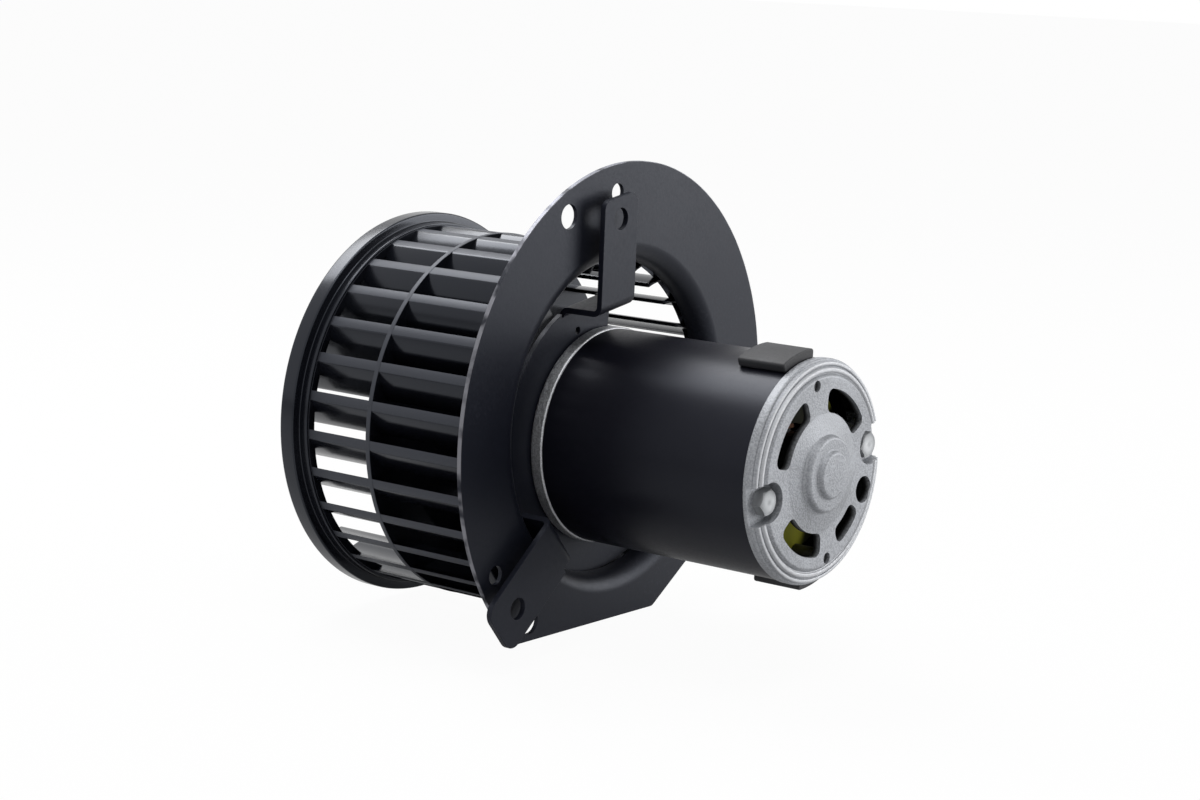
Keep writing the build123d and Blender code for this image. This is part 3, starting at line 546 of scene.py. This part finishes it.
half_sheet = blade_sheet / 2
sides = []
for offset in (half_sheet, -half_sheet):
    end = last_inside(0.8, 1.2, lambda part: blade_point(part, offset).length < blade_tip_r)
    sides.append([tuple(blade_point(end * step / 12, offset)) for step in range(13)])
root_nose, nose_turns = 0.06, (pi / 4, pi / 2, 0.75 * pi)
nose = [tuple(blade_point(-root_nose * sin(turn), half_sheet * cos(turn))) for turn in nose_turns]
blade_outline = [*sides[0][::-1], *nose, *sides[1]]
wheel_finish = Finish("moulded_black_plastic", Specular_IOR_Level=0.38, Specular_Tint=(0.8, 0.86, 1, 1))
flow = wheel_finish.grain(30, detail=4, stretch=(0.25, 1, 1))
pores = wheel_finish.grain(1500, detail=2)
spread = wheel_finish.off_line(0, -axis_drop)
# Painted highlight: a lighter, rougher band at the radius of the blades' tips and the disc's rim.
tip_highlight_begin, tip_highlight_end = (0.0655, 0.06568), (0.06585, 0.0661)
tip_highlight = spread.rise(*tip_highlight_begin) * (1 - spread.rise(*tip_highlight_end))
dusty = wheel_finish.blend(flow.rise(0.35, 0.75), (0.004, 0.0045, 0.007), (0.009, 0.01, 0.013))
wheel_finish.link(
    Base_Color=wheel_finish.blend(tip_highlight * (0.55 + 0.3 * flow), dusty, (0.05, 0.053, 0.063)),
    Roughness=0.12 + 0.1 * flow + 0.05 * pores + 0.3 * tip_highlight,
)
wheel_finish.relief(pores * 0.2 + wheel_finish.grain(240, detail=1) * 0.8, 0.02, 0.15)
blades = repeated(prism("wheel_blades", [blade_outline], wheel_open + 1, wheel_close - 1),
                  blade_count, first_blade, wheel_finish)
dressed(blades, "rotor", wheel_finish, edge=0, nodes=["wheel_blades"])

open_ring_r, step_ring_r, ring_bore = 70.1, 66.8, 62.5
open_ring_end, step_ring_end = wheel_open + 6.4, wheel_open + 9.9
rings = turned("wheel_open_ring", rounded([
    (wheel_open, ring_bore, 0.6), (wheel_open, open_ring_r, 0.9), (open_ring_end, open_ring_r, 0.7),
    (open_ring_end, step_ring_r, 0.4), (step_ring_end, step_ring_r, 0.5), (step_ring_end, ring_bore, 0.5),
], steps=3), drop=axis_drop, steps=240)
dressed(rings, "rotor", wheel_finish, edge=0, nodes=["wheel_open_ring"])
close_ring_r, close_ring_start = 69.0, wheel_close - 4
close_ring = turned("wheel_close_ring", rounded([
    (close_ring_start, ring_bore, 0.5), (close_ring_start, close_ring_r, 0.6),
    (wheel_close, close_ring_r, 0.6), (wheel_close, ring_bore, 0.5),
], steps=3), drop=axis_drop, steps=240)
dressed(close_ring, "rotor", wheel_finish, edge=0, nodes=["wheel_close_ring"])

disc_x, dish_x, dish_rim = -57.0, -44.0, 47.0
hub_r, hub_neck_r, hub_open, hub_close, hub_neck = 11.0, 9.6, -62.0, -40.0, -57.5
disc_r, half_disc, hub_bore = 65.8, 0.9, 6.05
disc = turned("wheel_disc_and_hub", rounded([
    (disc_x - half_disc, disc_r, 0.15), (disc_x + half_disc, disc_r, 0.15),
    (disc_x + half_disc, dish_rim, 2.5), (dish_x + half_disc, hub_r, 1.2), (hub_close, hub_r, 0.6),
    (hub_close, hub_bore), (hub_open, hub_bore), (hub_open, hub_neck_r, 0.4),
    (hub_neck, hub_neck_r, 0.3), (hub_neck, hub_r, 0.4), (dish_x - half_disc, hub_r, 1.2),
    (disc_x - half_disc, dish_rim, 2.5),
], steps=4), drop=axis_drop, steps=180)
dressed(disc, "rotor", wheel_finish, edge=0, nodes=["wheel_disc"])
rib_count, rib_sheet, rib_open = 6, 1.6, -56.8
work = bmesh.new()
rib = ((hub_neck_r, rib_open), (dish_rim - 1.2, rib_open), (hub_neck_r, dish_x))
ends = [[work.verts.new((x * mm, radius * mm, side_z * mm)) for radius, x in rib]
        for side_z in (-rib_sheet / 2, rib_sheet / 2)]
for end in ends:
    work.faces.new(end)
for step in range(3):
    after = (step + 1) % 3
    work.faces.new((ends[0][step], ends[0][after], ends[1][after], ends[1][step]))
ribs = repeated(new_piece("wheel_hub_ribs", work), rib_count, 0, wheel_finish)
dressed(ribs, "rotor", wheel_finish, edge=0.3, nodes=["wheel_disc"])


# Shaft and what holds the wheel on it: a ground steel bar, the hub's steel bush, a spring wire round the
# hub's neck and an open clip in the shaft's groove.
ground_steel = Finish("ground_steel", Metallic=1.0)
turning = ground_steel.grain(2600, detail=1, stretch=(1, 0.04, 0.04))
haze = ground_steel.grain(60, detail=3)
ground_steel.link(
    Base_Color=ground_steel.blend(haze, (0.5, 0.5, 0.51), (0.62, 0.62, 0.63)),
    Roughness=0.2 + 0.12 * turning + 0.1 * haze,
)
ground_steel.relief(turning, 0.01)
shaft_r, shaft_open, shaft_end, chamfer = 4.0, -66.0, 88.0, 0.6
bush_r, bush_bore, bush_open, bush_close = 6.0, 4.05, -62.5, -39.5
groove_r, groove_open = 3.4, bush_open - 1.05
shaft = turned("ground_shaft", [
    (shaft_open, 0), (shaft_open, shaft_r - chamfer), (shaft_open + chamfer, shaft_r),
    (groove_open, shaft_r), (groove_open, groove_r), (bush_open, groove_r), (bush_open, shaft_r),
    (shaft_end - chamfer, shaft_r), (shaft_end, shaft_r - chamfer), (shaft_end, 0),
], drop=axis_drop, steps=64)
dressed(shaft, "rotor", ground_steel, edge=0.1, nodes=["shaft"])
bush = turned("hub_bush", [
    (bush_open, bush_bore), (bush_open, bush_r), (bush_close, bush_r), (bush_close, bush_bore),
], drop=axis_drop, steps=64)
dressed(bush, "rotor", ground_steel, edge=0.25, nodes=["hub_insert"])
spring_steel = Finish("blued_spring_steel", Metallic=1.0)
draw = spring_steel.grain(900, detail=2, stretch=(0.2, 1, 1))
spring_steel.link(
    Base_Color=spring_steel.blend(draw, (0.2, 0.19, 0.18), (0.36, 0.35, 0.34)),
    Roughness=0.3 + 0.2 * draw,
)
spring_steel.relief(draw, 0.02)
for node, name in (("hub_clip", "hub_spring_wire"), ("shaft_clip", "shaft_open_clip")):
    dressed(merged(node, name), "rotor", spring_steel, edge=0.1, nodes=[node])


# Motor can: a drawn steel tube in semi-gloss black, which takes one long soft reflection along its top.
can_finish = Finish("semi_gloss_can_paint", Specular_IOR_Level=0.2, Specular_Tint=(0.78, 0.84, 1, 1))
cloud = can_finish.grain(18, detail=3)
speck = can_finish.cells(1100)
can_finish.link(
    Base_Color=can_finish.blend(cloud.rise(0.35, 0.8), (0.004, 0.004, 0.007), (0.008, 0.008, 0.012)),
    Roughness=0.24 + 0.1 * cloud + 0.08 * speck,
)
can_finish.relief(can_finish.grain(380, detail=2, stretch=(0.3, 1, 1)), 0.03, 0.5)
can_r, can_bore, can_front, can_back = 37.5, 35.9, -2.9, 79.8
can = turned("drawn_motor_can", rounded([
    (can_front, can_bore), (can_front, can_r, 0.3), (can_back, can_r, 0.3), (can_back, can_bore),
], steps=3), drop=axis_drop, steps=240)
dressed(can, "stator", can_finish, edge=0, nodes=["motor_can"])


# Front end bell and rear end cap: zinc castings with a fine grain, left bare and held by the long bolts. The
# bell shows as the bright rim at the front of the can. The cap has two ridges round its rim, a face that
# rises to a boss with a nose, vents, a lead hole and two open pockets for the bolts' heads.
def cast_zinc(name, base, metal):
    """Bare cast zinc: sandy grain, faint flow marks and brighter high spots."""
    finish = Finish(name, Metallic=metal)
    sand = finish.grain(1500, detail=2, roughness=0.6).rise(0.36, 0.64)
    flow = finish.grain(45, detail=4)
    darker = tuple(0.7 * part for part in base)
    lighter = tuple(min(1, 1.3 * part) for part in base)
    finish.link(
        Base_Color=finish.blend(0.65 * sand + 0.35 * flow.rise(0.3, 0.7), darker, lighter),
        Roughness=0.36 + 0.2 * sand + 0.1 * flow,
    )
    finish.relief(sand * 0.8 + finish.cells(800) * 0.2, 0.1, 0.6)
    return finish


zinc = cast_zinc("bare_cast_zinc", (0.28, 0.29, 0.31), 0.5)
bolt_circle, motor_turn, bolt_hole_r = 30.2, 11, 2.75
rim_r, spigot_r, spigot_wall = 38.0, 35.85, 2.2
bell_floor, cup_r, felt_r = -4.6, 12, 10.65
bolt_spots = [polar(bolt_circle, motor_turn + turn) for turn in (0, 180)]
bell_bearing_seat = [
    (bell_floor, felt_r), (-5.8, felt_r), (-5.8, 8.1), (-10, 8.1), (-14.08, 7), (-17, 7), (-17, 4.6),
]
bell = turned("cast_front_end_bell", rounded([
    (-18.5, 4.6), (-18.5, cup_r, 0.8), (disc_face, cup_r, 0.5), (disc_face, rim_r, 1.3),
    (can_front, rim_r, 0.7), (can_front, spigot_r), (0.4, spigot_r), (0.4, spigot_r - spigot_wall),
    (bell_floor, spigot_r - spigot_wall), *bell_bearing_seat,
], steps=4), drop=axis_drop, steps=240)
bolt_holes = prism("bolt_holes", [ring(spot, bolt_hole_r, 24) for spot in bolt_spots], -12, 0, axis_drop)
combined(bell, bolt_holes, "DIFFERENCE")
bell_finish = cast_zinc("turned_cast_zinc", (0.5, 0.51, 0.53), 0.85)
dressed(bell, "stator", bell_finish, edge=0, nodes=["front_end_bell"])


def sector(inner, outer, start, span, corner, steps=14):
    """Outline of a ring sector with rounded corners."""
    start, end = radians(start), radians(start + span)
    outer_inset, inner_inset = asin(corner / (outer - corner)), asin(corner / (inner + corner))
    outer_start, outer_end = start + outer_inset, end - outer_inset
    inner_start, inner_end = start + inner_inset, end - inner_inset

    def bend(radius, turn, first, last):
        return arc((radius * cos(turn), radius * sin(turn)), corner, first, last, 5)

    return [
        *bend(outer - corner, outer_start, start - pi / 2, outer_start),
        *arc((0, 0), outer, outer_start, outer_end, steps)[1:-1],
        *bend(outer - corner, outer_end, outer_end, end + pi / 2),
        *bend(inner + corner, inner_end, end + pi / 2, inner_end + pi),
        *arc((0, 0), inner, inner_end, inner_start, steps)[1:-1],
        *bend(inner + corner, inner_start, inner_start + pi, start + 1.5 * pi),
    ]


cap_face, cap_wall, cap_mouth = 85.6, 2.6, 73.2
boss_foot, boss_top, nose_end = 87.0, 89.3, 91
cone_r, boss_r, collar_r = 20.0, 13.1, 12.6
rim_and_ridges = [
    (can_back, spigot_r), (can_back, rim_r, 0.4), (83.3, rim_r, 0.7), (83.1, 37.2, 0.25),
    (84.5, 36.9, 0.45), (84.5, 35.9, 0.45), (83.6, 35.5, 0.25), (85.2, 34.9, 0.5),
    (85.2, 33.8, 0.5), (84.3, 33.3, 0.3),
]
face_and_boss = [
    (cap_face, 32.2, 0.8), (cap_face, cone_r, 2), (boss_foot, boss_r, 0.8), (boss_top, 12.5, 1.1),
    (boss_top, 8.2, 0.5), (nose_end, 7.6, 1.0), (nose_end, 0),
]
cap_bearing_seat = [
    (89.4, 0), (89.4, 5.4), (85.6, 5.4), (85.6, 7), (82.68, 7), (78.6, 8.1), (74.4, 8.1),
    (74.4, felt_r), (cap_mouth, felt_r), (cap_mouth, collar_r),
]
inner_wall = [
    (boss_foot - cap_wall, collar_r, 0.8), (cap_face - cap_wall, cone_r, 2),
    (cap_face - cap_wall, spigot_r - spigot_wall, 0.8), (74.8, spigot_r - spigot_wall), (74.8, spigot_r),
]
cap_profile = rounded([*rim_and_ridges, *face_and_boss, *cap_bearing_seat, *inner_wall], steps=5)
cap = turned("cast_rear_end_cap", cap_profile, drop=axis_drop, steps=256)
seat_r = 8.5
seats = prism("pocket_seats", [ring(spot, seat_r, 48) for spot in bolt_spots], 79, 83.5, axis_drop)
trim = turned("seat_trim", [(78, 0), (78, 34.8), (84, 34.8), (84, 0)], drop=axis_drop, steps=256)
combined(seats, trim, "INTERSECT")
combined(cap, seats, "UNION")
pocket_r, bolt_seat, past_rim = 6.7, 81.3, 12
pockets = []
for turn in (motor_turn, motor_turn + 180):
    wall = arc(polar(bolt_circle, turn), pocket_r, radians(turn + 90), radians(turn + 270), 20)
    out_y, out_z = polar(past_rim, turn)
    open_start, open_end = [(y + out_y, z + out_z) for y, z in (wall[0], wall[-1])]
    pockets.append([open_start, *wall, open_end])
combined(cap, prism("pockets", pockets, bolt_seat, 90, axis_drop), "DIFFERENCE")
vent_corner, lead_hole_circle, lead_hole_r, stud_hole_r = 2.6, 28, 4.65, 1.95
vents = [sector(20.2, 28.3, motor_turn + start, 56, vent_corner) for start in (20, 103, 206)]
vents.append(sector(22.2, 28.8, motor_turn + 284, 31, vent_corner))
vents.append(ring(polar(lead_hole_circle, motor_turn + 330), lead_hole_r))
stud_spots = [polar(bolt_circle, motor_turn + turn) for turn in (90, 270)]
vents += [ring(spot, stud_hole_r, 24) for spot in stud_spots]
vents += [ring(spot, bolt_hole_r, 24) for spot in bolt_spots]
combined(cap, prism("vents", vents, 78, 90, axis_drop), "DIFFERENCE")
# Painted shade: the cap is painted near black everywhere but on its rim's side, its outer face, its ridges
# and round the bolts' pockets, so that its inside and the vents' walls look shaded.
spread = zinc.off_line(0, -axis_drop)
rim_side = spread.rise(0.0362, 0.0368)
outer_face = zinc.along().rise(0.0834, 0.0852)
ridges = zinc.along().rise(0.0824, 0.0844) * spread.rise(0.0329, 0.0333)
clear_of_painted_shade = rim_side.most(outer_face).most(ridges)
for y, z in bolt_spots:
    pocket_side = 1 - zinc.off_line(y * mm, z * mm - axis_drop).rise(0.0095, 0.0105)
    clear_of_painted_shade = clear_of_painted_shade.most(pocket_side)
# Painted highlight: the tops of the two ridges round the rim are painted a lighter zinc.
ridge_highlight = zinc.along().rise(0.0841, 0.0845) * spread.rise(0.0331, 0.0335)
cast = zinc.blend(ridge_highlight * 0.6, zinc.colour(), (0.55, 0.56, 0.58))
zinc.link(Base_Color=zinc.blend(clear_of_painted_shade, (0.015, 0.015, 0.016), cast))
dressed(cap, "stator", zinc, edge=0.22, nodes=["rear_end_cap"])


# Long bolts, nuts and card studs: zinc-plated steel. The bolts' hexagon heads sit in the cap's pockets,
# their nuts on the bracket's disc, and the studs' ends show in the cap's two small holes.
plated = Finish("zinc_plated_steel", Metallic=0.3)
bright = plated.grain(500, detail=3)
tint = plated.grain(120, detail=2)
plated.link(
    Base_Color=plated.blend(tint.rise(0.3, 0.7), (0.25, 0.26, 0.27), (0.36, 0.37, 0.385)),
    Roughness=0.42 + 0.2 * bright,
)
plated.relief(bright, 0.02)
across_flats, head_height, nut_height = 8, 3.6, 4
hex_r = across_flats / 2 / cos(pi / 6)
bolt_r, bolt_tip, nut_face = 2.5, -15.0, -10.0


def hexagon(name, low, high, chamfer_at):
    """Six-sided prism with its corners turned off in a cone at one end, or both."""
    piece = prism(name, [[polar(hex_r, 60 * number) for number in range(6)]], low, high)
    outside, cone_end, cone_length = hex_r + 0.05, hex_r - 0.75, 0.55
    profile = [(low, 0), (low, outside), (high, outside), (high, 0)]
    if "high" in chamfer_at:
        profile[2:3] = [(high - cone_length, outside), (high, cone_end)]
    if "low" in chamfer_at:
        profile[1:2] = [(low, cone_end), (low + cone_length, outside)]
    return combined(piece, turned("turned_corners", profile, steps=96), "INTERSECT")


def moved_out(piece, distance):
    """Moves a piece's mesh outwards along Y, to where its ring of copies starts."""
    piece.data.transform(Matrix.Translation((0, distance * mm, 0)))
    return piece


heads = hexagon("long_bolts", bolt_seat, bolt_seat + head_height, ["high"])
shank = turned("shank", [(bolt_tip, 0), (bolt_tip, 2.0), (bolt_tip + 0.5, bolt_r), (bolt_seat + 1, bolt_r),
                         (bolt_seat + 1, 0)], steps=32)
combined(heads, shank, "UNION")
bolts = repeated(moved_out(heads, bolt_circle), 2, motor_turn, plated)
dressed(bolts, "stator", plated, edge=0.08, rounds=1, nodes=["through_bolts"])
nut = hexagon("long_bolt_nuts", nut_face - nut_height, nut_face, ["low", "high"])
combined(nut, turned("nut_bore", [(-16, 0), (-16, 2.55), (-8, 2.55), (-8, 0)], steps=32), "DIFFERENCE")
nuts = repeated(moved_out(nut, bolt_circle), 2, motor_turn, plated)
dressed(nuts, "stator", plated, edge=0.08, rounds=1, nodes=["through_bolt_nuts"])
stud = turned("card_studs_turned", rounded([
    (70.6, 0), (70.6, 2.6, 0.5), (71.4, 2.6), (71.4, 1.4), (73, 1.4), (73, 2.8), (82.4, 2.8), (82.4, 1.9),
    (84.2, 1.9, 0.4), (84.2, 0),
], steps=3), steps=32)
studs = repeated(moved_out(stud, bolt_circle), 2, motor_turn + 90, plated)
# The studs' ends are given a darker, mottled steel of their own than the bolts.
dark_stud = Finish("dark_stud_end", Metallic=0.9)
stud_mottle = dark_stud.grain(900, detail=2)
dark_stud.link(Base_Color=dark_stud.blend(stud_mottle, (0.06, 0.06, 0.065), (0.16, 0.16, 0.17)),
               Roughness=0.4 + 0.2 * stud_mottle)
dark_stud.relief(stud_mottle, 0.02)
dressed(studs, "stator", dark_stud, edge=0, nodes=["card_studs"])


# Rubber pads: two short strips of moulded black rubber, bonded to the can's top and underside next to the
# cap, where they cushion the motor against its cover.
rubber = Finish("matt_pad_rubber", Specular_IOR_Level=0.45)
crumb = rubber.grain(1400, detail=3, roughness=0.6)
bloom = rubber.grain(70, detail=3)
rubber.link(
    Base_Color=rubber.blend(bloom.rise(0.35, 0.8), (0.01, 0.0105, 0.013), (0.026, 0.027, 0.032)),
    Roughness=0.5 + 0.2 * crumb,
)
rubber.relief(crumb, 0.08, 0.8)
pad_span, pad_height, pad_corner = 25.7, 3.4, 1.0
pad_start, pad_end, pad_angles = 61, 79.4, (102, 282)
pads = prism("bonded_rubber_pads", [
    sector(can_r, can_r + pad_height, angle - pad_span / 2, pad_span, pad_corner) for angle in pad_angles
], pad_start, pad_end, axis_drop)
dressed(pads, "stator", rubber, edge=0.5, rounds=3, nodes=["rubber_pads"])


# Brush gear: the yellow-green laminate card that shows in the vents, its copper-plated holders, the carbon
# brushes and their folded springs. The CAD solids stay, but the springs are copied, each with a mesh of its
# own.
def carried(finish, *nodes):
    """Gives a finish to CAD nodes that are shown as they are."""
    for node in nodes:
        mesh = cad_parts[node].data
        mesh.materials.clear()
        mesh.materials.append(finish.material)


card = Finish("yellow_green_laminate", Specular_IOR_Level=0.1)
weave = card.grain(1800, detail=1, stretch=(1, 1, 0.2))
stain = card.grain(80, detail=3)
card_colour = card.blend(0.4 * weave + 0.6 * stain, (0.24, 0.25, 0.02), (0.46, 0.45, 0.05))
# Painted shade: the card is painted near black except round two spots that show through the vents.
low_window, high_window = (0.001, -0.029), (0.018, 0.0135)
past_low, past_high = card.off_line(*low_window), card.off_line(*high_window)
painted_shade_inside_cap = past_low.rise(0.007, 0.011) * past_high.rise(0.0035, 0.0065) * 0.97
card.link(Base_Color=card.blend(painted_shade_inside_cap, card_colour, (0.006, 0.007, 0.006)), Roughness=0.45 + 0.15 * weave)
card.relief(weave, 0.02)
carried(card, "brush_card")
copper = Finish("tarnished_copper", Metallic=1.0)
tarnish = copper.grain(150, detail=4)
copper.link(
    Base_Color=copper.blend(tarnish.rise(0.3, 0.75), (0.2, 0.1, 0.06), (0.06, 0.034, 0.02)),
    Roughness=0.28 + 0.25 * tarnish,
)
copper.relief(copper.grain(2000, detail=1, stretch=(1, 0.05, 0.05)), 0.01)
carried(copper, "brush_holder_1", "brush_holder_2", "commutator")
carbon = Finish("pressed_carbon", IOR=1.6)
soot = carbon.grain(2200, detail=2)
carbon.link(Base_Color=carbon.blend(soot, (0.012, 0.012, 0.012), (0.03, 0.03, 0.031)),
            Roughness=0.45 + 0.25 * soot)
carbon.relief(soot, 0.02)
carried(carbon, "brush_1", "brush_2")
for number, way in ((1, 1), (2, -1)):
    spring = merged(f"brush_spring_{number}", f"folded_brush_spring_{number}")
    dressed(spring, "stator", spring_steel, edge=0, nodes=[f"brush_spring_{number}"])
    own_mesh(spring)


# Inside the motor: bronze bearings with felts and steel retainers, ferrite magnets with their spring clips,
# the slotted core with its red enamelled wire, and the moulded sleeves. They are sealed in, so the CAD solids
# stay, each with its own finish.
carried(spring_steel, "magnet_clips")
carried(ground_steel, "front_retainer", "rear_retainer")
bronze = Finish("sintered_bronze", Metallic=0.9)
pit = bronze.cells(1500)
bronze.link(Base_Color=bronze.blend(pit.rise(0.1, 0.6), (0.22, 0.15, 0.08), (0.5, 0.36, 0.18)),
            Roughness=0.5 - 0.1 * pit)
bronze.relief(pit, 0.03)
carried(bronze, "front_bearing", "rear_bearing")
felt = Finish("oiled_felt", Sheen_Weight=0.3)
fibre = felt.grain(2400, detail=4, roughness=0.7, stretch=(1, 0.4, 1))
felt.link(Base_Color=felt.blend(fibre, (0.36, 0.32, 0.24), (0.62, 0.57, 0.46)),
          Roughness=0.8 + 0.15 * fibre)
felt.relief(fibre, 0.15)
carried(felt, "front_felt", "rear_felt")
ferrite = Finish("pressed_ferrite", IOR=1.7)
press = ferrite.grain(1100, detail=3)
ferrite.link(Base_Color=ferrite.blend(press, (0.025, 0.025, 0.027), (0.06, 0.06, 0.062)),
             Roughness=0.55 + 0.2 * press)
ferrite.relief(press, 0.04)
carried(ferrite, "magnet_1", "magnet_2")
stack = Finish("stamped_core_stack", Metallic=1.0)
sheets_per_metre = 2000
sheets = stack.add("ShaderNodeMath", {"operation": "FRACT"}, {0: stack.along() * sheets_per_metre})
joint = (sheets - 0.5).size().rise(0.3, 0.5)
rust = stack.grain(300, detail=3)
stack.link(Base_Color=stack.blend(joint, (0.34, 0.34, 0.35), (0.08, 0.07, 0.06)),
           Roughness=0.35 + 0.3 * rust)
stack.relief(1 - joint, 0.05)
carried(stack, "armature_core")
wire = Finish("enamelled_wire", Coat_Roughness=0.1)
strand = wire.grain(1500, detail=1, stretch=(0.1, 1, 1))
wire.link(Base_Color=wire.blend(strand.rise(0.35, 0.65), (0.16, 0.03, 0.012), (0.5, 0.14, 0.05)),
          Roughness=0.25 + 0.15 * strand, Coat_Weight=0.5 + 0.3 * strand)
wire.relief(strand, 0.2)
carried(wire, "armature_windings")
moulded = Finish("moulded_insulator", IOR=1.5)
cure = moulded.grain(200, detail=3)
moulded.link(Base_Color=moulded.blend(cure, (0.3, 0.24, 0.15), (0.46, 0.38, 0.25)),
             Roughness=0.45 + 0.2 * cure)
moulded.relief(moulded.grain(1200, detail=2), 0.02)
carried(moulded, "commutator_sleeve", "front_spacer", "thrust_washers")
